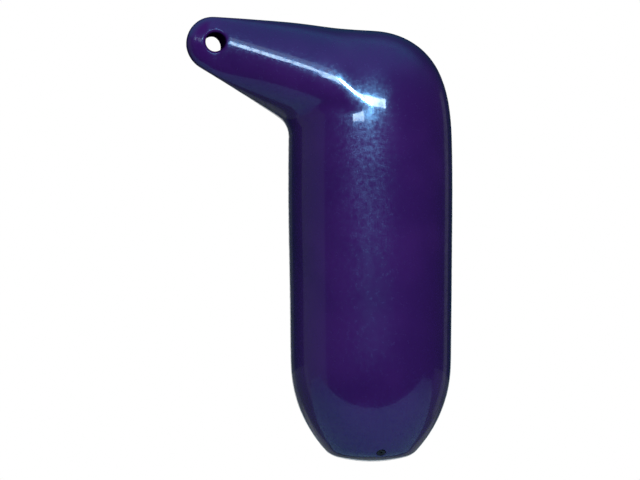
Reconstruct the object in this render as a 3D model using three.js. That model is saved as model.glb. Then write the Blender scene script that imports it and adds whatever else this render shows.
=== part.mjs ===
// An inflatable fender for boats with a low side: one vinyl moulding whose barrel bends at the
// top into a tapered neck with a rope eye, and the rubber needle valve in a pocket of its base.
import * as THREE from "three";

// Driving dimensions, in millimetres and degrees. The origin is the centre of the rope eye.
// +X runs from the eye towards the barrel, +Z up along the barrel, and the eye's bore along Y.
const reach = 153.4; // eye centre to barrel axis
const drop = 396.4; // eye centre down to the crown's lowest point

// Barrel: a domed crown at its foot, a rounded knuckle, an ogive and a wall with a slight draft.
const barrelRadius = 79.5; // where the wall meets the shoulder
const wallDraft = 2.8; // how much narrower the wall is at its lower end
const footHeight = 95; // where the wall meets the ogive, above the lowest point
const ogiveRadius = 124;
const knuckleRadius = 22;
const crownRadius = 130;

// Head: the wall leans in at the shoulder and closes over the barrel.
const headTop = 18.3; // top of the head above the eye centre, over the barrel axis
const shoulderDrop = 139; // eye centre down to where the wall starts to lean in
const shoulderPower = 4.2; // 2 makes the head a half ellipse, more keeps the wall straight for longer

// Neck, seen from the side: a round lug, a falling top line and a straight underside.
const lugRadius = 26.4;
const topLinePower = 1.4; // 1 makes the top line straight, more makes it start level
const dentDepth = 1.5; // shallow dent across the top line
const dentPlace = 42; // from the barrel axis towards the eye
const dentWidth = 26;
const undersideSlope = 29.6; // degrees below the horizontal
const elbowFillet = 25; // radius in the inner corner of the elbow
const filletFade = 70; // the fillet dies out over this distance short of the barrel axis

// The line along which the neck is widest falls from the eye and dips to a level end.
const widestSlope = 24; // degrees below the horizontal
const rootDrop = 73; // eye centre down to the level end, inside the head
const dipStart = 50; // both from the barrel axis towards the eye
const dipEnd = 18;

// Neck, seen from above.
const lugHalfThickness = 13.5;
const rootHalfWidth = 77; // over the barrel axis, inside the head
const nosePower = 2.5; // roundness of the lug's nose
const sideRise = 1.25; // 1 makes the sides leave the lug at once, more makes them start level

// Rope eye.
const boreRadius = 9;
const boreRound = 3.2; // rounding of both mouths

// Valve pocket and needle valve.
const valveAlong = 42; // along the skin from the crown's lowest point towards -Y
const headRadius = 3.9;
const headLength = 2.2;
const stemRadius = 2.8;
const stemLength = 11;
const needleRadius = 0.8;
const needleDepth = 7;
const valveSunk = 0.5; // the valve's face below the skin around it
const clearance = 0.3; // around the valve in its pocket
const pocketRound = 1.3; // rounding of the pocket's mouth

// Mesh steps.
const around = 64; // points around each section
const crownStep = 5; // along the profile, up to the knuckle
const ogiveStep = 12;
const wallSections = 6;
const elbowSections = 26;
const neckSections = 7;
const eyeSections = 14; // across the eye's window
const noseSections = 5;
const valveSections = 4; // across the valve's window
const roundSteps = 4; // from the skin into each mouth
const windowMargin = 4; // skin left between the eye's mouth and its window's border
const halvings = 40; // of the span in which a ray's point of the skin is sought
const normalStep = 0.25; // to either side of a point, for the direction its gap grows in

// Key places.
const lowestZ = -drop;
const footZ = lowestZ + footHeight;
const shoulderZ = -shoulderDrop;
const eyeX = -reach; // the model is made about the barrel axis and moved at the end
const slope = THREE.MathUtils.degToRad(undersideSlope);
const widestFall = Math.tan(THREE.MathUtils.degToRad(widestSlope));

// The barrel's profile below the foot: arcs about centres in the plane of radius and height.
const crown = { r: 0, z: lowestZ + crownRadius, radius: crownRadius };
const footRadius = barrelRadius - wallDraft;
const ogive = { r: footRadius - ogiveRadius, z: footZ, radius: ogiveRadius };

// The point at two given distances from a and from b, on the right as seen going from a to b.
function pointAtDistances(a, fromA, b, fromB) {
  const dr = b.r - a.r;
  const dz = b.z - a.z;
  const apart = Math.hypot(dr, dz);
  const along = (fromA ** 2 - fromB ** 2 + apart ** 2) / (2 * apart);
  const off = Math.sqrt(fromA ** 2 - along ** 2);
  return { r: a.r + (along * dr - off * dz) / apart, z: a.z + (along * dz + off * dr) / apart };
}

const knuckle = {
  ...pointAtDistances(crown, crownRadius - knuckleRadius, ogive, ogiveRadius - knuckleRadius),
  radius: knuckleRadius,
};
const crownEnd = Math.atan2(knuckle.z - crown.z, knuckle.r - crown.r);
const knuckleEnd = Math.atan2(knuckle.z - ogive.z, knuckle.r - ogive.r);
const ogiveArc = { ...ogive, from: knuckleEnd, to: 0 };
const arcs = [
  { ...crown, from: -Math.PI / 2, to: crownEnd },
  { ...knuckle, from: crownEnd, to: knuckleEnd },
  ogiveArc,
];

function barrelRadiusAt(z) {
  if (z >= footZ) {
    const rise = Math.min(1, (z - footZ) / (shoulderZ - footZ));
    return footRadius + wallDraft * rise;
  }
  const arc = arcs.find((a) => z <= a.z + a.radius * Math.sin(a.to)) ?? ogiveArc;
  const up = Math.max(-arc.radius, z - arc.z);
  return arc.r + Math.sqrt(arc.radius ** 2 - up ** 2);
}

// The neck's outline seen from the side. x is measured from the barrel axis.
const undersideTangentX = eyeX - lugRadius * Math.sin(slope);

function lugHeight(x) {
  return Math.sqrt(Math.max(0, lugRadius ** 2 - (x - eyeX) ** 2));
}

// A curve from 1 at share 0 to 0 at share 1, round for power 2.
function closing(share, power) {
  return (1 - Math.min(1, share) ** power) ** (1 / power);
}

function topLine(x) {
  if (x <= eyeX) return lugHeight(x);
  const along = (x - eyeX) / reach;
  const dent = dentDepth * Math.exp(-(((x + dentPlace) / dentWidth) ** 2));
  return lugRadius - (lugRadius - headTop) * along ** topLinePower - dent;
}

function underLine(x) {
  if (x <= undersideTangentX) return -lugHeight(x);
  return -lugRadius / Math.cos(slope) - Math.tan(slope) * (x - eyeX);
}

// The height at which an upright section is widest.
function equator(x) {
  const straight = -widestFall * Math.max(0, x - eyeX);
  const dip = THREE.MathUtils.smoothstep(x, -dipStart, -dipEnd);
  return straight - (rootDrop + straight) * dip;
}

function neckHalfWidth(x) {
  if (x <= eyeX) return lugHalfThickness * closing((eyeX - x) / lugRadius, nosePower);
  const along = (x - eyeX) / reach;
  const grown = Math.sin((Math.PI / 2) * along) ** sideRise;
  return lugHalfThickness + (rootHalfWidth - lugHalfThickness) * grown;
}

// A gap is negative inside the material, zero at its surface, and about the distance near it.
const tiny = 1e-6;

function gapAlong(out, share) {
  return share < tiny ? -out : out * (1 - 1 / share);
}

function barrelGap(x, y, z) {
  const radius = Math.hypot(x, y);
  if (z <= shoulderZ) return radius - barrelRadiusAt(z);
  const up = z - shoulderZ;
  const share = Math.hypot(radius / barrelRadius, (up / (headTop + shoulderDrop)) ** (shoulderPower / 2));
  return gapAlong(Math.hypot(radius, up), share);
}

function neckGap(x, y, z) {
  const up = z - equator(x);
  const high = Math.max(tiny, up > 0 ? topLine(x) - equator(x) : equator(x) - underLine(x));
  const wide = Math.max(tiny, neckHalfWidth(x));
  return gapAlong(Math.hypot(y, up), Math.hypot(y / wide, up / high));
}

function outwardNormal(gap, x, y, z) {
  const e = normalStep;
  return new THREE.Vector3(
    gap(x + e, y, z) - gap(x - e, y, z),
    gap(x, y + e, z) - gap(x, y - e, z),
    gap(x, y, z + e) - gap(x, y, z - e),
  ).normalize();
}

// Barrel and neck as one skin, with a fillet where they meet at an angle.
function bodyGap(x, y, z) {
  const barrel = barrelGap(x, y, z);
  if (x >= 0) return barrel;
  const neck = neckGap(x, y, z);
  const turn = outwardNormal(barrelGap, x, y, z).dot(outwardNormal(neckGap, x, y, z));
  const halfCosine = Math.sqrt(Math.max(0, (1 + turn) / 2));
  const blend = Math.max(tiny, 4 * elbowFillet * Math.min(1, -x / filletFade) * (1 - halfCosine));
  const share = Math.max(0, 1 - Math.abs(barrel - neck) / blend);
  return Math.min(barrel, neck) - (blend * share ** 2) / 4;
}

// The point of the skin that a ray from inside the material meets.
const farAway = reach + drop;

function skinAlong(start, direction) {
  let inside = 0;
  let outside = farAway;
  const p = new THREE.Vector3();
  for (let i = 0; i < halvings; i++) {
    const middle = (inside + outside) / 2;
    p.copy(start).addScaledVector(direction, middle);
    if (bodyGap(p.x, p.y, p.z) < 0) inside = middle;
    else outside = middle;
  }
  return p;
}

// Sections lie level in the barrel, fan out about a pivot in the elbow and stand upright in
// the neck. tilt turns a section from level to upright; deep and wide spread its rays.
function section(x, z, tilt, deep, wide) {
  return { x, z, tilt, deep, wide };
}

function profilePoint(length) {
  let left = length;
  for (const arc of arcs) {
    const whole = (arc.to - arc.from) * arc.radius;
    if (left <= whole + tiny) {
      const angle = arc.from + left / arc.radius;
      return { r: arc.r + arc.radius * Math.cos(angle), z: arc.z + arc.radius * Math.sin(angle), angle };
    }
    left -= whole;
  }
}

// The lowest sections are spaced so that one of them passes through the valve.
const valvePlace = profilePoint(valveAlong);
const valveRing = Math.round(valveAlong / crownStep) - 1;

function barrelSections() {
  const made = [];
  const level = (p) => made.push(section(0, p.z, 0, 1, 1));
  const [crownLength, knuckleLength, ogiveLength] = arcs.map((a) => (a.to - a.from) * a.radius);
  const step = valveAlong / (valveRing + 1);
  const lowCount = Math.round((crownLength + knuckleLength) / step);
  for (let i = 1; i < lowCount; i++) level(profilePoint(step * i));
  const highCount = Math.round(ogiveLength / ogiveStep);
  const highStart = crownLength + knuckleLength;
  for (let i = 0; i <= highCount; i++) level(profilePoint(highStart + (ogiveLength * i) / highCount));
  for (let i = 1; i < wallSections; i++) level({ z: footZ + ((pivot.z - footZ) * i) / wallSections });
  return made;
}

const pivotOut = 6; // the elbow's pivot stands off the barrel
const pivotDown = 16; // and lies below the neck's underside
const pivot = { x: -barrelRadius - pivotOut, z: underLine(-barrelRadius) - pivotDown };

function elbowFan() {
  const made = [];
  const first = -pivot.x;
  const last = equator(pivot.x) - pivot.z;
  for (let i = 0; i <= elbowSections; i++) {
    const share = i / elbowSections;
    const tilt = (Math.PI / 2) * share;
    const out = first + (last - first) * share;
    const wide = barrelRadius + (neckHalfWidth(pivot.x) - barrelRadius) * share;
    made.push(section(pivot.x + out * Math.cos(tilt), pivot.z + out * Math.sin(tilt), tilt, out, wide));
  }
  return made;
}

const eyeWindow = boreRadius + boreRound + windowMargin; // half of the eye's window

function neckSpan() {
  const made = [];
  const upright = (x) => {
    const left = Math.max(0, (x - eyeX) / (pivot.x - eyeX));
    const high = (topLine(x) - underLine(x)) / 2;
    made.push(section(x, equator(pivot.x) * left, Math.PI / 2, high, neckHalfWidth(x)));
  };
  const eyeStart = eyeX + eyeWindow;
  for (let i = 1; i < neckSections; i++) upright(pivot.x + ((eyeStart - pivot.x) * i) / neckSections);
  for (let i = 0; i <= eyeSections; i++) upright(eyeStart - (2 * eyeWindow * i) / eyeSections);
  const windowTurn = Math.asin(eyeWindow / lugRadius);
  for (let i = 1; i < noseSections; i++) {
    const turn = windowTurn + ((Math.PI / 2 - windowTurn) * i) / noseSections;
    upright(eyeX - lugRadius * Math.sin(turn));
  }
  return made;
}

// A mesh laid by hand: points, and faces that join rings of points.
class Skin {
  constructor() {
    this.points = [];
    this.faces = [];
  }

  add(point) {
    return this.points.push(point) - 1;
  }

  quad(a, b, c, d) {
    this.faces.push([a, b, c], [a, c, d]);
  }

  // Joins two closed loops of the same length.
  stitch(outer, inner) {
    outer.forEach((a, k) => {
      const next = (k + 1) % outer.length;
      this.quad(a, outer[next], inner[next], inner[k]);
    });
  }

  // Closes a loop onto one point.
  cap(loop, point) {
    const pole = this.add(point);
    loop.forEach((a, k) => this.faces.push([a, loop[(k + 1) % loop.length], pole]));
  }

  geometry() {
    const made = new THREE.BufferGeometry();
    const numbers = this.points.flatMap((p) => p.toArray());
    made.setAttribute("position", new THREE.Float32BufferAttribute(numbers, 3));
    made.setIndex(this.faces.flat());
    made.computeVertexNormals();
    return made;
  }
}

function ringOf({ x, z, tilt, deep, wide }) {
  const centre = new THREE.Vector3(x, 0, z);
  return Array.from({ length: around }, (_, j) => {
    const turn = (2 * Math.PI * j) / around;
    const out = deep * Math.cos(turn);
    const direction = new THREE.Vector3(out * Math.cos(tilt), -wide * Math.sin(turn), out * Math.sin(tilt));
    return skinAlong(centre, direction.normalize());
  });
}

// A window is a square of left-out faces about one point of the rings, filled with a round
// mouth. Its frame: u along the rings' order, v around them, n out of the material. The loops
// below start at the corner where both u and v are lowest.
const cornerAngle = (-3 / 4) * Math.PI;
const windowSides = 4;

function windowLoop(rings, { ring, step, half }) {
  const loop = [];
  for (let i = -half; i < half; i++) loop.push(rings[ring + i][step - half]);
  for (let j = -half; j < half; j++) loop.push(rings[ring + half][step + j]);
  for (let i = half; i > -half; i--) loop.push(rings[ring + i][step + half]);
  for (let j = half; j > -half; j--) loop.push(rings[ring - half][step + j]);
  return loop;
}

// A level loop about the window's axis, as high as given above its centre.
function windowCircle(window, radius, heightOf) {
  const count = windowSides * 2 * window.half;
  return Array.from({ length: count }, (_, k) => {
    const angle = cornerAngle + (2 * Math.PI * k) / count;
    return window.centre
      .clone()
      .addScaledVector(window.u, radius * Math.cos(angle))
      .addScaledVector(window.v, radius * Math.sin(angle))
      .addScaledVector(window.n, heightOf(k));
  });
}

// Fills a window down to the bore's wall, and returns the loop where that wall starts.
function roundedMouth(skin, rings, window, radius, round) {
  const border = windowLoop(rings, window);
  const rim = windowCircle(window, radius + round, () => 0).map((p) => skinAlong(p, window.n));
  const rimHeight = rim.map((p) => p.clone().sub(window.centre).dot(window.n));
  const flat = (p) => p.clone().addScaledVector(window.n, -p.clone().sub(window.centre).dot(window.n));
  const between = border.map((id, k) => {
    const middle = flat(skin.points[id]).lerp(flat(rim[k]), 0.5);
    return skin.add(skinAlong(middle, window.n));
  });
  skin.stitch(border, between);
  let outer = between;
  for (let i = 0; i <= roundSteps; i++) {
    const turn = ((Math.PI / 2) * i) / roundSteps;
    const inset = round * (1 - Math.cos(turn));
    const points = windowCircle(window, radius + round * (1 - Math.sin(turn)), (k) => rimHeight[k] - inset);
    const inner = points.map((p) => skin.add(p));
    skin.stitch(outer, inner);
    outer = inner;
  }
  return outer;
}

function bodyGeometry() {
  const skin = new Skin();
  const sections = [...barrelSections(), ...elbowFan(), ...neckSpan()];
  const rings = sections.map((s) => ringOf(s).map((p) => skin.add(p)));
  const eyeRing = rings.length - noseSections - eyeSections / 2;
  const nearStep = around / 4;
  const farStep = 3 * nearStep;
  const eyeCentre = new THREE.Vector3(eyeX, 0, 0);
  const towardsNose = new THREE.Vector3(-1, 0, 0);
  const nearEye = {
    ring: eyeRing,
    step: nearStep,
    half: eyeSections / 2,
    centre: eyeCentre,
    u: towardsNose,
    v: new THREE.Vector3(0, 0, -1),
    n: new THREE.Vector3(0, -1, 0),
  };
  const farEye = {
    ...nearEye,
    step: farStep,
    v: new THREE.Vector3(0, 0, 1),
    n: new THREE.Vector3(0, 1, 0),
  };
  const pocket = {
    ring: valveRing,
    step: nearStep,
    half: valveSections / 2,
    centre: valveSeat.clone().addScaledVector(valveOutward, -pocketDepth),
    u: new THREE.Vector3(0, Math.sin(valvePlace.angle), Math.cos(valvePlace.angle)),
    v: new THREE.Vector3(-1, 0, 0),
    n: valveOutward,
  };
  const inWindow = (i, j) =>
    [nearEye, farEye, pocket].some((w) => {
      const along = i - w.ring;
      const across = j - w.step;
      return along >= -w.half && along < w.half && across >= -w.half && across < w.half;
    });
  for (let i = 0; i + 1 < rings.length; i++) {
    for (let j = 0; j < around; j++) {
      const next = (j + 1) % around;
      if (!inWindow(i, j)) skin.quad(rings[i][j], rings[i + 1][j], rings[i + 1][next], rings[i][next]);
    }
  }
  skin.cap(rings[0], new THREE.Vector3(0, 0, lowestZ));
  skin.cap([...rings[rings.length - 1]].reverse(), new THREE.Vector3(eyeX - lugRadius, 0, 0));

  // The eye's bore joins its two mouths, which run round it in opposite ways. The far mouth's
  // point across from the near one's first is a side of the window short of a whole turn.
  const nearMouth = roundedMouth(skin, rings, nearEye, boreRadius, boreRound);
  const farMouth = roundedMouth(skin, rings, farEye, boreRadius, boreRound);
  const count = nearMouth.length;
  const firstMatch = count - count / windowSides;
  const matched = nearMouth.map((_, k) => farMouth[(firstMatch + count - k) % count]);
  skin.stitch(nearMouth, matched);

  // The pocket steps in from the valve's head to its stem and ends flat.
  const wall = (radius, height) => windowCircle(pocket, radius, () => height).map((p) => skin.add(p));
  const ledge = pocketDepth - valveSunk - headLength - clearance;
  const levels = [
    roundedMouth(skin, rings, pocket, headRadius + clearance, pocketRound),
    wall(headRadius + clearance, ledge),
    wall(stemRadius + clearance, ledge),
    wall(stemRadius + clearance, 0),
  ];
  for (let i = 1; i < levels.length; i++) skin.stitch(levels[i - 1], levels[i]);
  skin.cap(levels[levels.length - 1], pocket.centre);
  return skin.geometry();
}

// The valve's seat is a point of the knuckle's skin, and its axis is square to the skin there.
const valveOutward = new THREE.Vector3(0, -Math.cos(valvePlace.angle), Math.sin(valvePlace.angle));
const valveSeat = new THREE.Vector3(0, -valvePlace.r, valvePlace.z);
const pocketDepth = valveSunk + headLength + stemLength + clearance;

// A headed plug with a blind hole for the pump's needle, turned about its own axis. Its face
// is level with its origin, and the stem hangs below.
function valveGeometry() {
  const chamfer = stemRadius / 4;
  const length = headLength + stemLength;
  const profile = [
    [0, -length],
    [stemRadius - chamfer, -length],
    [stemRadius, -length + chamfer],
    [stemRadius, -headLength],
    [headRadius, -headLength],
    [headRadius, -chamfer],
    [headRadius - chamfer, 0],
    [2 * needleRadius, 0],
    [needleRadius, -needleRadius],
    [needleRadius, -needleDepth],
    [0, -needleDepth - needleRadius],
  ];
  const turned = new THREE.LatheGeometry(profile.map(([r, h]) => new THREE.Vector2(r, h)), around / 2);
  return turned;
}

const vinyl = new THREE.MeshStandardMaterial({ color: 0x2c1658, roughness: 0.22, metalness: 0 });
const rubber = new THREE.MeshStandardMaterial({ color: 0x101114, roughness: 0.6, metalness: 0 });

const fender = new THREE.Group();
fender.position.x = -eyeX;

const body = new THREE.Mesh(bodyGeometry(), vinyl);
body.name = "fender_body";
fender.add(body);

const valve = new THREE.Mesh(valveGeometry(), rubber);
valve.name = "needle_valve";
valve.position.copy(valveSeat).addScaledVector(valveOutward, -valveSunk);
valve.quaternion.setFromUnitVectors(new THREE.Vector3(0, 1, 0), valveOutward);
fender.add(valve);

export default fender;
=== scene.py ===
"""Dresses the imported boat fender: a fine vinyl envelope, its needle valve, and a plain studio."""
import math

import bmesh
import bpy
import numpy as np
from bpy.props import FloatProperty, FloatVectorProperty, IntProperty, PointerProperty
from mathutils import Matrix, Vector


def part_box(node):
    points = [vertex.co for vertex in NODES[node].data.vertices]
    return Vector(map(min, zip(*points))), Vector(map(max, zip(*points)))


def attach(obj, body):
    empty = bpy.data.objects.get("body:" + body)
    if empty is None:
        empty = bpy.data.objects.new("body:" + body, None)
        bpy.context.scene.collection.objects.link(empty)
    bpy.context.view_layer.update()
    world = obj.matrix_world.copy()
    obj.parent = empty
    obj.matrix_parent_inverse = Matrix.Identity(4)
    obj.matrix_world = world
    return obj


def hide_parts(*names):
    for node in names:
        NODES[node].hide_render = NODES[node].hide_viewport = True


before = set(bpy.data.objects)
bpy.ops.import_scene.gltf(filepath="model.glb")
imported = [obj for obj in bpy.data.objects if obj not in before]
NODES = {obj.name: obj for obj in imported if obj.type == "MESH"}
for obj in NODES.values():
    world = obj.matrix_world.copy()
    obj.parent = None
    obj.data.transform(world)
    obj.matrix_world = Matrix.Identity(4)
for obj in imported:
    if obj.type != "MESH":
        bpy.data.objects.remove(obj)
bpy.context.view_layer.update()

bl_info = {
    "name": "Boat Fender",
    "version": (1, 0, 0),
    "blender": (4, 5, 0),
    "location": "View3D > Sidebar > Fender",
    "description": "Models the envelope and valve of a boat fender around its packed frame",
    "category": "Object",
}

BODY = "root"
# The valve sits in the front of the base, level with the barrel's axis
BARREL_AXIS_X = (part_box("needle_valve")[0][0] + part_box("needle_valve")[1][0]) / 2
LOWEST_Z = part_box("fender_body")[0][2]
BARREL_RADIUS = (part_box("fender_body")[1][1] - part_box("fender_body")[0][1]) / 2

# Points of a mesh closer than this are taken as one, in metres
SAME_PLACE = 1e-5
WHITE = (1.0, 1.0, 1.0, 1.0)

# The Mix node's sockets for colours, which share their names with its other sockets
MIX_FIRST_COLOUR = 6
MIX_SECOND_COLOUR = 7
MIX_RESULT_COLOUR = 2

# Round the rope eye, in radii of the eye: where each kind of wear, and the painted shade in the bore,
# starts to fade and where it ends
BORE_FADE = (1.02, 1.2)
MOUTH_FADE = (1.2, 1.5)
BARE_FADE = (1.25, 1.65)
NOSE_FADE = (2.0, 2.6)
TIP_FADE = (-1.1, -0.3)
MOUTH_WEAR = 0.85
NOSE_WEAR = 0.92
# How dark the bore is painted, as a share of the deep vinyl: painted shade inside the hole
BORE_PAINTED_SHADE = 0.3


# Settings that a user would change


class EnvelopeSettings(bpy.types.PropertyGroup):
    smoothing: IntProperty(
        name="Smoothing", description="Subdivision steps of the moulded skin", default=2, min=0, max=2)
    ripple_depth: FloatProperty(
        name="Ripple depth", description="How far the soft skin wanders in and out",
        default=0.0004, unit="LENGTH")
    ripple_size: FloatProperty(
        name="Ripple size", description="Size of one swell in the soft skin",
        default=0.07, unit="LENGTH")
    eye_radius: FloatProperty(
        name="Eye radius", description="Radius of the rope eye, which the line rubs dull",
        default=0.009, unit="LENGTH")
    vinyl: FloatVectorProperty(
        name="Vinyl", description="Pigment of the vinyl", subtype="COLOR", size=4,
        default=(0.034, 0.0082, 0.100, 1.0))
    deep_vinyl: FloatVectorProperty(
        name="Deep vinyl", description="Pigment where the skin lies a little thicker", subtype="COLOR",
        size=4, default=(0.026, 0.0060, 0.084, 1.0))
    gloss_tint: FloatVectorProperty(
        name="Gloss tint", description="Tint of what the vinyl mirrors", subtype="COLOR", size=4,
        default=(0.25, 0.6, 1.0, 1.0))
    haze_tint: FloatVectorProperty(
        name="Haze tint", description="Tint of the sheen where the vinyl is scuffed", subtype="COLOR",
        size=4, default=(0.18, 0.56, 1.0, 1.0))


class ValveSettings(bpy.types.PropertyGroup):
    head_radius: FloatProperty(
        name="Head radius", description="Radius of the valve's head", default=0.0039, unit="LENGTH")
    head_length: FloatProperty(
        name="Head length", description="Thickness of the valve's head", default=0.0022, unit="LENGTH")
    stem_radius: FloatProperty(
        name="Stem radius", description="Radius of the valve's stem", default=0.0028, unit="LENGTH")
    stem_length: FloatProperty(
        name="Stem length", description="Length of the valve's stem", default=0.011, unit="LENGTH")
    needle_radius: FloatProperty(
        name="Needle hole radius", description="Radius of the hole for the pump's needle",
        default=0.0008, unit="LENGTH")
    needle_depth: FloatProperty(
        name="Needle hole depth", description="Depth of the hole for the pump's needle",
        default=0.007, unit="LENGTH")
    rubber: FloatVectorProperty(
        name="Rubber", description="Colour of the valve's rubber", subtype="COLOR", size=4,
        default=(0.005, 0.0052, 0.009, 1.0))


class StudioSettings(bpy.types.PropertyGroup):
    azimuth: FloatProperty(
        name="Azimuth", description="Camera's turn about the fender",
        default=math.radians(-12), subtype="ANGLE")
    elevation: FloatProperty(
        name="Elevation", description="Camera's height angle",
        default=math.radians(-6), subtype="ANGLE")
    distance: FloatProperty(
        name="Distance", description="From the camera to the fender", default=1.8, unit="LENGTH")
    lens: FloatProperty(name="Lens", description="Focal length in millimetres", default=106.0)
    floor_drop: FloatProperty(
        name="Floor drop", description="From the fender's lowest point down to the floor",
        default=0.22, unit="LENGTH")
    floor_front: FloatProperty(
        name="Floor front", description="From the barrel's wall to the floor's front edge",
        default=0.29, unit="LENGTH")
    floor_back: FloatProperty(
        name="Floor back", description="From the barrel's axis back to the floor's rear edge",
        default=0.22, unit="LENGTH")
    floor_colour: FloatVectorProperty(
        name="Floor", description="Colour of the floor", subtype="COLOR", size=4,
        default=(0.22, 0.37, 0.50, 1.0))
    wide_radiance: FloatProperty(
        name="Wide light", description="Brightness of the light for the colour", default=7.2)
    key_radiance: FloatProperty(
        name="Key", description="Brightness of the light seen in the gloss", default=62.0)
    room_radiance: FloatProperty(
        name="Room", description="Brightness of the room above, in reflections", default=0.36)
    room_colour: FloatVectorProperty(
        name="Room colour", description="Colour of the room, in reflections", subtype="COLOR",
        size=4, default=(0.07, 0.72, 1.0, 1.0))
    fill_radiance: FloatProperty(
        name="Fill", description="Brightness of the soft fill from above and the sides", default=0.25)


# Small tools


def deselect_all():
    """Leaves edit mode and deselects every object."""
    if bpy.context.object and bpy.context.object.mode != "OBJECT":
        bpy.ops.object.mode_set(mode="OBJECT")
    bpy.ops.object.select_all(action="DESELECT")


def make_active(piece):
    """Selects one piece alone and makes it the active one."""
    deselect_all()
    piece.select_set(True)
    bpy.context.view_layer.objects.active = piece


def apply_modifier(piece, kind, **settings):
    """Adds a modifier with these settings and applies it."""
    modifier = piece.modifiers.new(kind.title(), kind)
    for name, value in settings.items():
        setattr(modifier, name, value)
    make_active(piece)
    bpy.ops.object.modifier_apply(modifier=modifier.name)


def select_faces(piece, wanted):
    """In edit mode, selects only the faces for which wanted(face) is true."""
    bpy.ops.mesh.select_all(action="DESELECT")
    mesh = bmesh.from_edit_mesh(piece.data)
    for face in mesh.faces:
        if wanted(face):
            face.select_set(True)
    bmesh.update_edit_mesh(piece.data)


def shade(colour, share):
    """A colour made lighter or darker by a share, and opaque."""
    return tuple(min(1.0, share * value) for value in colour[:3]) + (1.0,)


# Shader maths as Python expressions


class Field:
    """A socket's value. Arithmetic on it adds Math nodes."""

    def __init__(self, shader, socket):
        self.shader = shader
        self.socket = socket

    def _math(self, operation, first, second):
        return self.shader.field("ShaderNodeMath", {"operation": operation}, {0: first, 1: second})

    def __add__(self, other):
        return self._math("ADD", self, other)

    def __radd__(self, other):
        return self._math("ADD", other, self)

    def __sub__(self, other):
        return self._math("SUBTRACT", self, other)

    def __rsub__(self, other):
        return self._math("SUBTRACT", other, self)

    def __mul__(self, other):
        return self._math("MULTIPLY", self, other)

    def __rmul__(self, other):
        return self._math("MULTIPLY", other, self)

    def at_most(self, other):
        return self._math("MINIMUM", self, other)

    def at_least(self, other):
        return self._math("MAXIMUM", self, other)


class Shader:
    """A node tree that is built by calls."""

    def __init__(self, tree):
        self.tree = tree
        tree.nodes.clear()

    def node(self, kind, settings=None, inputs=None):
        made = self.tree.nodes.new(kind)
        for name, value in (settings or {}).items():
            setattr(made, name, value)
        for name, value in (inputs or {}).items():
            socket = made.inputs[name]
            if isinstance(value, Field):
                self.tree.links.new(value.socket, socket)
            elif isinstance(value, bpy.types.NodeSocket):
                self.tree.links.new(value, socket)
            else:
                socket.default_value = value
        return made

    def field(self, kind, settings=None, inputs=None, output=0):
        return Field(self, self.node(kind, settings, inputs).outputs[output])

    def noise(self, place, scale, detail=3.0, roughness=0.5):
        inputs = {"Vector": place, "Scale": scale, "Detail": detail, "Roughness": roughness}
        return self.field("ShaderNodeTexNoise", {}, inputs)

    def length(self, place):
        return self.field("ShaderNodeVectorMath", {"operation": "LENGTH"}, {0: place}, output="Value")

    def split(self, place):
        """The X, Y and Z parts of a vector."""
        parts = self.node("ShaderNodeSeparateXYZ", {}, {0: place}).outputs
        return [Field(self, part) for part in parts]

    def stretch(self, place, scale):
        return self.node("ShaderNodeMapping", {}, {"Vector": place, "Scale": scale}).outputs[0]

    def remap(self, value, low, high):
        """0 at low, 1 at high, smooth between."""
        settings = {"interpolation_type": "SMOOTHSTEP"}
        inputs = {"Value": value, "From Min": low, "From Max": high}
        return self.field("ShaderNodeMapRange", settings, inputs)

    def within(self, value, fade, unit):
        """1 below a fade, 0 above it, smooth between. The fade is given in units."""
        low, high = fade
        return 1.0 - self.remap(value, low * unit, high * unit)

    def mix_colours(self, factor, first, second):
        inputs = {"Factor": factor, MIX_FIRST_COLOUR: first, MIX_SECOND_COLOUR: second}
        return self.field("ShaderNodeMix", {"data_type": "RGBA"}, inputs, output=MIX_RESULT_COLOUR)

    def bump(self, height, strength, distance):
        inputs = {"Strength": strength, "Distance": distance, "Height": height}
        return self.node("ShaderNodeBump", {}, inputs).outputs[0]

    def mix_shaders(self, factor, first, second):
        inputs = {0: factor, 1: first.outputs[0], 2: second.outputs[0]}
        return self.node("ShaderNodeMixShader", {}, inputs)


def new_material(name):
    material = bpy.data.materials.new(name)
    material.use_nodes = True
    return material, Shader(material.node_tree)


def object_place(shader):
    return shader.node("ShaderNodeTexCoord").outputs["Object"]


def eye_wear_and_shade(shader, place, radius):
    """Masks by the rope eye: the coat left on the skin, the bore with its painted shade, and all that
    the line rubs dull.

    It rubs the two mouths of the eye all round, and the nose on its outer side.
    """
    from_eye = shader.length(shader.stretch(place, (1.0, 0.0, 1.0)))
    along, _, _ = shader.split(place)
    coat = 1.0 - shader.within(from_eye, BARE_FADE, radius)
    bore = shader.within(from_eye, BORE_FADE, radius)
    mouth = MOUTH_WEAR * shader.within(from_eye, MOUTH_FADE, radius)
    tip = shader.within(along, TIP_FADE, radius)
    nose = NOSE_WEAR * tip * shader.within(from_eye, NOSE_FADE, radius)
    return coat, bore, bore.at_least(mouth).at_least(nose)


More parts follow.
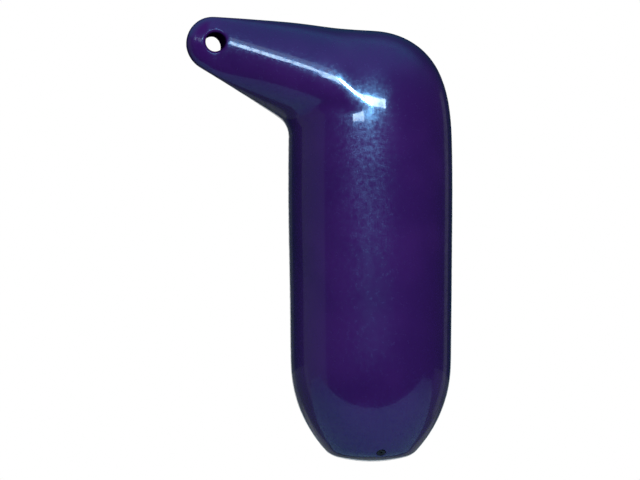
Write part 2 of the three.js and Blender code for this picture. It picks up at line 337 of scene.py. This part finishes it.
def glossy_skin(shader, place, settings, colour, mottle, coat, bump):
    """The vinyl where nothing rubs it: a clear gloss, and a wider haze in cloudy patches."""
    drawn = shader.noise(shader.stretch(place, (1.0, 1.0, 0.06)), scale=60.0)
    gloss = shader.node("ShaderNodeBsdfPrincipled", {}, {
        "Base Color": colour,
        "Roughness": 0.07 + mottle * 0.06,
        "IOR": 1.5,
        "Specular IOR Level": 0.75,
        "Specular Tint": tuple(settings.gloss_tint),
        "Coat Weight": coat * (0.55 + mottle * 0.35),
        "Coat Roughness": 0.03,
        "Normal": bump,
    })
    haze = shader.node("ShaderNodeBsdfPrincipled", {}, {
        "Base Color": colour,
        "Roughness": 0.2 + mottle * 0.12,
        "IOR": 1.5,
        "Specular IOR Level": 1.0,
        "Specular Tint": tuple(settings.haze_tint),
        "Normal": bump,
    })
    patches = shader.remap(mottle, 0.36, 0.66) * 0.6
    streaks = shader.remap(drawn, 0.5, 0.7) * 0.1
    everywhere = 0.12
    return shader.mix_shaders(patches + streaks + everywhere, gloss, haze)


def vinyl_material(settings):
    """Glossy pigmented vinyl with a soft swell and a fine grain, worn dull round the rope eye, with
    painted shade inside its bore.
    """
    material, shader = new_material("glossy_vinyl")
    place = object_place(shader)
    clouds = shader.noise(place, scale=14.0, detail=2.0)
    mottle = shader.noise(place, scale=230.0, detail=5.0, roughness=0.7)
    grain = shader.noise(place, scale=900.0, detail=2.0)
    colour = shader.mix_colours(
        shader.remap(clouds, 0.35, 0.65), tuple(settings.vinyl), tuple(settings.deep_vinyl))
    bump = shader.bump(clouds * 0.6 + mottle * 0.015 + grain * 0.004, strength=0.06, distance=0.002)
    coat, bore, worn_and_shaded = eye_wear_and_shade(shader, place, settings.eye_radius)
    skin = glossy_skin(shader, place, settings, colour, mottle, coat, bump)
    # Matt vinyl where the line rubs; in the bore its colour is darkened as painted shade
    matt = shader.node("ShaderNodeBsdfPrincipled", {}, {
        "Base Color": shader.mix_colours(bore, colour, shade(settings.deep_vinyl, BORE_PAINTED_SHADE)),
        "Roughness": 0.6 + mottle * 0.2,
        "Specular IOR Level": 0.0,
        "Normal": bump,
    })
    surface = shader.mix_shaders(worn_and_shaded, skin, matt)
    shader.node("ShaderNodeOutputMaterial", {}, {"Surface": surface.outputs[0]})
    return material


def rubber_material(settings):
    """Dull black rubber with a dusting of lighter grain."""
    material, shader = new_material("valve_rubber")
    place = object_place(shader)
    grain = shader.noise(place, scale=2500.0, detail=4.0)
    base = tuple(settings.rubber)
    dusty = shade(base, 2.0)
    bump = shader.bump(grain, strength=0.2, distance=0.0002)
    surface = shader.node("ShaderNodeBsdfPrincipled", {}, {
        "Base Color": shader.mix_colours(shader.remap(grain, 0.45, 0.7), base, dusty),
        "Roughness": 0.4 + grain * 0.3,
        "Specular IOR Level": 0.5,
        "Normal": bump,
    })
    shader.node("ShaderNodeOutputMaterial", {}, {"Surface": surface.outputs[0]})
    return material


# The envelope


def fine_copy(node, name):
    """A merged copy of a CAD node's mesh, of four-sided faces where two triangles make one."""
    piece = bpy.data.objects.new(name, node.data.copy())
    bpy.context.scene.collection.objects.link(piece)
    make_active(piece)
    bpy.ops.object.mode_set(mode="EDIT")
    bpy.ops.mesh.select_all(action="SELECT")
    bpy.ops.mesh.remove_doubles(threshold=SAME_PLACE)
    bpy.ops.mesh.tris_convert_to_quads(
        face_threshold=math.radians(60), shape_threshold=math.radians(120))
    bpy.ops.object.mode_set(mode="OBJECT")
    return piece


class FENDER_OT_envelope(bpy.types.Operator):
    """Makes the moulded vinyl envelope with its barrel, neck and rope eye"""

    bl_idname = "fender.envelope"
    bl_label = "Envelope"

    def execute(self, context):
        settings = context.scene.fender_envelope
        piece = fine_copy(NODES["fender_body"], "vinyl_envelope")
        level = settings.smoothing
        apply_modifier(piece, "SUBSURF", levels=level, render_levels=level)
        swells = bpy.data.textures.new("soft_skin", "CLOUDS")
        swells.noise_scale = settings.ripple_size
        apply_modifier(
            piece, "DISPLACE", texture=swells, texture_coords="LOCAL", strength=settings.ripple_depth,
            mid_level=0.5)
        make_active(piece)
        bpy.ops.object.shade_smooth()
        piece.data.materials.clear()
        piece.data.materials.append(vinyl_material(settings))
        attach(piece, BODY)
        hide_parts("fender_body")
        return {"FINISHED"}


# The needle valve


# How much of a flat end's normal points along the valve, at least
VALVE_FLAT = 0.9


def valve_place():
    """Middle of the CAD valve's outer face and the axis out of it, the long way of its mesh."""
    corners = np.array([tuple(vertex.co) for vertex in NODES["needle_valve"].data.vertices])
    middle = corners.mean(axis=0)
    axis = np.linalg.svd(corners - middle)[2][0]
    outward = axis if axis[2] < 0 else -axis
    along = corners @ outward
    face = corners[along > along.max() - SAME_PLACE]
    return Vector(face.mean(axis=0)), Vector(outward)


class FENDER_OT_needle_valve(bpy.types.Operator):
    """Makes the rubber needle valve that sits in the pocket of the base"""

    bl_idname = "fender.needle_valve"
    bl_label = "Needle valve"

    def execute(self, context):
        settings = context.scene.fender_valve
        edge_round = 0.00022
        deselect_all()
        bpy.ops.mesh.primitive_cylinder_add(
            vertices=48, radius=settings.head_radius, depth=settings.head_length,
            location=(0.0, 0.0, -settings.head_length / 2))
        piece = bpy.context.object
        piece.name = "valve_plug"
        bpy.ops.object.transform_apply(location=True)
        self.shape_stem(piece, settings)
        self.shape_face(piece, settings)
        bpy.ops.object.mode_set(mode="OBJECT")
        apply_modifier(piece, "BEVEL", width=edge_round, segments=3, limit_method="ANGLE")
        centre, outward = valve_place()
        piece.rotation_mode = "QUATERNION"
        piece.rotation_quaternion = Vector((0.0, 0.0, 1.0)).rotation_difference(outward)
        piece.location = centre
        make_active(piece)
        bpy.ops.object.transform_apply(location=True, rotation=True, scale=True)
        bpy.ops.object.shade_smooth_by_angle(angle=math.radians(35))
        piece.data.materials.append(rubber_material(settings))
        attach(piece, BODY)
        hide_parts("needle_valve")
        return {"FINISHED"}

    @staticmethod
    def shape_stem(piece, settings):
        """Draws the stem out of the head's lower face, with a rounded end."""
        bpy.ops.object.mode_set(mode="EDIT")
        select_faces(piece, lambda face: face.normal.z < -VALVE_FLAT)
        bpy.ops.mesh.inset(thickness=settings.head_radius - settings.stem_radius)
        straight = settings.stem_length - settings.stem_radius / 2
        down = (0.0, 0.0, -straight)
        bpy.ops.mesh.extrude_region_move(TRANSFORM_OT_translate={"value": down})
        bpy.ops.mesh.inset(thickness=settings.stem_radius / 2, depth=settings.stem_radius / 2)

    @staticmethod
    def shape_face(piece, settings):
        """Dishes the head's face and sinks the needle's hole in it."""
        lip = 0.0007
        dish = 0.0004
        funnel = settings.needle_radius
        select_faces(piece, lambda face: face.normal.z > VALVE_FLAT)
        bpy.ops.mesh.inset(thickness=lip)
        bpy.ops.mesh.inset(thickness=lip / 2, depth=-dish)
        left = settings.head_radius - 1.5 * lip
        bpy.ops.mesh.inset(thickness=left - 2 * settings.needle_radius)
        bpy.ops.mesh.inset(thickness=funnel, depth=-funnel)
        down = (0.0, 0.0, -settings.needle_depth)
        bpy.ops.mesh.extrude_region_move(TRANSFORM_OT_translate={"value": down})


# The studio


# What the camera aims at, with the last shift to its right and upwards, in metres
AIM = (0.1, 0.0, -0.19)
AIM_RIGHT = 0.0038
AIM_UP = 0.0041
SENSOR_WIDTH_MM = 36.0


def direction(azimuth, elevation):
    """Out from the fender: turned from its photographed side towards the right, and raised."""
    level = math.cos(elevation)
    return Vector((math.sin(azimuth) * level, -math.cos(azimuth) * level, math.sin(elevation)))


def camera_directions(settings):
    """Back, right and up of the photograph's camera."""
    back = direction(settings.azimuth, settings.elevation)
    right = Vector((math.cos(settings.azimuth), math.sin(settings.azimuth), 0.0))
    return back, right, back.cross(right)


def make_camera(settings):
    """The photograph's camera, which looks a little upwards."""
    back, right, up = camera_directions(settings)
    aim = Vector(AIM) + right * AIM_RIGHT + up * AIM_UP
    data = bpy.data.cameras.new("studio_camera")
    data.lens = settings.lens
    data.sensor_width = SENSOR_WIDTH_MM
    camera = bpy.data.objects.new("studio_camera", data)
    camera.location = aim + back * settings.distance
    camera.rotation_mode = "QUATERNION"
    camera.rotation_quaternion = back.to_track_quat("Z", "Y")
    bpy.context.scene.collection.objects.link(camera)
    bpy.context.scene.camera = camera


def softbox(name, centre, facing, width, height, radiance):
    """A rectangular softbox that faces a point, unseen by the camera."""
    data = bpy.data.lights.new(name, "AREA")
    data.shape = "RECTANGLE"
    data.size = width
    data.size_y = height
    data.energy = radiance * math.pi * width * height
    lamp = bpy.data.objects.new(name, data)
    lamp.location = centre
    lamp.rotation_mode = "QUATERNION"
    lamp.rotation_quaternion = (Vector(centre) - Vector(facing)).to_track_quat("Z", "Y")
    lamp.visible_camera = False
    bpy.context.scene.collection.objects.link(lamp)
    return lamp


def softbox_round(settings, name, turn, rise, distance, size, radiance, about_z):
    """A softbox placed round the barrel's axis at one height, and turned to face it there.

    The turn is level from the camera's side, positive towards its right, and both angles are degrees.
    """
    middle = Vector((BARREL_AXIS_X, 0.0, about_z))
    out = direction(settings.azimuth + math.radians(turn), math.radians(rise))
    return softbox(name, middle + out * distance, middle, size[0], size[1], radiance)


def make_wide_lights(settings):
    """Wide lights in front and behind, which bring out the colour and aren't seen in the gloss."""
    rise = 12
    distance = 1.3
    size = (1.0, 0.9)
    about_z = -0.08
    for name, turn, share in (
        ("wide_light", 5, 1.0),
        ("back_light", 180, 0.6),
    ):
        radiance = share * settings.wide_radiance
        lamp = softbox_round(settings, name, turn, rise, distance, size, radiance, about_z)
        lamp.visible_glossy = False


def make_key_lights(settings):
    """Narrow lights, seen in the gloss alone, for the highlights of the neck and the shoulder."""
    distance = 1.0
    about_z = -0.06
    for name, turn, rise, size, share in (
        ("key_softbox", 5, 20, (0.5, 0.08), 0.4),
        ("key_core", -1, 20, (0.14, 0.08), 2.6),
        ("key_tail", -3, 14.5, (0.14, 0.12), 0.016),
        ("neck_softbox", -33, 20.5, (0.26, 0.1), 0.22),
        ("neck_glow", -26, 27, (0.6, 0.15), 0.022),
        ("lobe_softbox", -17, 17, (0.26, 0.17), 0.24),
    ):
        radiance = share * settings.key_radiance
        lamp = softbox_round(settings, name, turn, rise, distance, size, radiance, about_z)
        lamp.visible_diffuse = False


def make_panels(settings):
    """Dim panels at both sides and behind, which the rims and the base mirror."""
    for name, turn, distance, size, radiance, about_z in (
        ("left_panel", -88, 1.5, (1.2, 1.4), 0.11, -0.2),
        ("left_rim", -150, 1.6, (0.5, 1.4), 0.05, -0.2),
        ("right_rim", 130, 1.6, (0.35, 1.4), 0.1, -0.2),
        ("left_low", -130, 0.7, (0.8, 0.6), 0.06, -0.62),
        ("right_low", 128, 0.7, (0.8, 0.6), 0.06, -0.64),
        ("back_low", 180, 0.9, (1.6, 0.5), 0.12, -0.83),
    ):
        softbox_round(settings, name, turn, 0, distance, size, radiance, about_z)


def room_in_gloss(shader, settings, right, away, up):
    """Brightness of the room that the gloss mirrors: dim walls under a brighter ceiling.

    The ceiling is dimmer beyond the fender, and dimmer low at its right.
    """
    walls = 0.03
    beyond = shader.remap(away, 0.2, 0.6)
    low_right = shader.remap(right, 0.1, 0.55) * (1.0 - shader.remap(up, 0.55, 0.9))
    ceiling = shader.remap(up, 0.3, 0.62) * (1.0 - 0.85 * beyond)
    return walls + settings.room_radiance * ceiling * (1.0 - 0.8 * low_right)


def make_world(settings):
    """White to the camera, a soft fill from above to matt surfaces, and a dim blue room to the gloss.

    Straight behind the fender, as the camera sees it, the gloss mirrors the white too.
    """
    world = bpy.data.worlds.new("studio_room")
    bpy.context.scene.world = world
    world.use_nodes = True
    shader = Shader(world.node_tree)
    path = shader.node("ShaderNodeLightPath")
    mirrored = Field(shader, path.outputs["Is Glossy Ray"])
    diffuse = Field(shader, path.outputs["Is Diffuse Ray"])
    through = Field(shader, path.outputs["Is Transmission Ray"])
    from_camera = Field(shader, path.outputs["Is Camera Ray"])
    looking = shader.node("ShaderNodeTexCoord").outputs["Generated"]
    turn = {"Vector": looking, "Rotation": (0.0, 0.0, -settings.azimuth)}
    right, away, up = shader.split(shader.node("ShaderNodeMapping", {}, turn).outputs[0])
    behind = shader.remap(away, 0.95, 0.98)
    seen = (from_camera + through + mirrored * behind).at_most(1.0)
    gloss = room_in_gloss(shader, settings, right, away, up)
    fill = settings.fill_radiance * shader.remap(up, -0.6, 0.5)
    level = diffuse * fill + (1.0 - diffuse) * gloss
    strength = seen + (1.0 - seen) * level
    plain = (seen + diffuse).at_most(1.0)
    colour = shader.mix_colours(plain, tuple(settings.room_colour), WHITE)
    background = shader.node("ShaderNodeBackground", {}, {"Color": colour, "Strength": strength})
    shader.node("ShaderNodeOutputWorld", {}, {"Surface": background.outputs[0]})


def floor_material(settings):
    """Plain matt floor in a light greyish blue, with a faint dust."""
    material, shader = new_material("pale_floor")
    place = object_place(shader)
    dust = shader.noise(place, scale=3.0, detail=4.0)
    base = tuple(settings.floor_colour)
    darker = shade(base, 0.97)
    surface = shader.node("ShaderNodeBsdfPrincipled", {}, {
        "Base Color": shader.mix_colours(dust, base, darker),
        "Roughness": 0.9,
        "Specular IOR Level": 0.2,
    })
    shader.node("ShaderNodeOutputMaterial", {}, {"Surface": surface.outputs[0]})
    return material


def backdrop_material():
    """White to the camera, to mirrors and through glass, and dim in the light that it throws."""
    material, shader = new_material("white_backdrop")
    path = shader.node("ShaderNodeLightPath")
    seen = Field(shader, path.outputs["Is Camera Ray"])
    mirrored = Field(shader, path.outputs["Is Glossy Ray"])
    through = Field(shader, path.outputs["Is Transmission Ray"])
    thrown = 0.3
    strength = thrown + (1.0 - thrown) * (seen + mirrored + through).at_most(1.0)
    glow = shader.node("ShaderNodeEmission", {}, {"Color": WHITE, "Strength": strength})
    shader.node("ShaderNodeOutputMaterial", {}, {"Surface": glow.outputs[0]})
    return material


def make_floor(settings):
    """A plain floor with its long edges square to the camera, under the barrel and in front of it."""
    towards_camera = direction(settings.azimuth, 0.0)
    width = 3.6
    front = BARREL_RADIUS + settings.floor_front
    depth = front + settings.floor_back
    under_barrel = Vector((BARREL_AXIS_X, 0.0, LOWEST_Z - settings.floor_drop))
    middle = under_barrel + towards_camera * (front - depth / 2)
    deselect_all()
    bpy.ops.mesh.primitive_plane_add(size=1.0, location=middle, rotation=(0.0, 0.0, settings.azimuth))
    floor = bpy.context.object
    floor.name = "floor"
    floor.scale = (width, depth, 1.0)
    bpy.ops.object.transform_apply(location=True, rotation=True, scale=True)
    floor.data.materials.append(floor_material(settings))


def make_backdrop(settings):
    """A white backdrop far behind the fender, square to the camera's side."""
    towards_camera = direction(settings.azimuth, 0.0)
    width = 1.7
    height = 1.3
    distance = 3.0
    over_fender = Vector((0.1, 0.0, 0.1))
    deselect_all()
    bpy.ops.mesh.primitive_plane_add(size=1.0, location=(0.0, 0.0, 0.0))
    backdrop = bpy.context.object
    backdrop.name = "backdrop"
    backdrop.scale = (width, height, 1.0)
    backdrop.rotation_mode = "QUATERNION"
    backdrop.rotation_quaternion = towards_camera.to_track_quat("Z", "Y")
    backdrop.location = over_fender - towards_camera * distance
    bpy.ops.object.transform_apply(location=True, rotation=True, scale=True)
    backdrop.data.materials.append(backdrop_material())


class FENDER_OT_studio(bpy.types.Operator):
    """Makes the floor, the backdrop, the soft lights, the room and the camera"""

    bl_idname = "fender.studio"
    bl_label = "Studio"

    def execute(self, context):
        settings = context.scene.fender_studio
        make_camera(settings)
        make_world(settings)
        make_floor(settings)
        make_backdrop(settings)
        make_wide_lights(settings)
        make_key_lights(settings)
        make_panels(settings)
        return {"FINISHED"}


class FENDER_PT_panel(bpy.types.Panel):
    """Lists the fender's settings and the steps that make it"""

    bl_label = "Boat Fender"
    bl_idname = "FENDER_PT_panel"
    bl_space_type = "VIEW_3D"
    bl_region_type = "UI"
    bl_category = "Fender"

    def draw(self, context):
        for owner, operator in (
            ("fender_envelope", FENDER_OT_envelope),
            ("fender_valve", FENDER_OT_needle_valve),
            ("fender_studio", FENDER_OT_studio),
        ):
            box = self.layout.box()
            settings = getattr(context.scene, owner)
            for name in settings.bl_rna.properties.keys():
                if name not in {"rna_type", "name"}:
                    box.prop(settings, name)
            box.operator(operator.bl_idname)


GROUPS = {
    "fender_envelope": EnvelopeSettings,
    "fender_valve": ValveSettings,
    "fender_studio": StudioSettings,
}
CLASSES = (
    *GROUPS.values(), FENDER_OT_envelope, FENDER_OT_needle_valve, FENDER_OT_studio, FENDER_PT_panel)


def register():
    for cls in CLASSES:
        bpy.utils.register_class(cls)
    for name, group in GROUPS.items():
        setattr(bpy.types.Scene, name, PointerProperty(type=group))


def unregister():
    for name in GROUPS:
        delattr(bpy.types.Scene, name)
    for cls in reversed(CLASSES):
        bpy.utils.unregister_class(cls)


def main():
    register()
    bpy.context.scene.view_settings.view_transform = "Standard"
    bpy.ops.fender.studio()
    bpy.ops.fender.envelope()
    bpy.ops.fender.needle_valve()


if __name__ == "__main__":
    main()
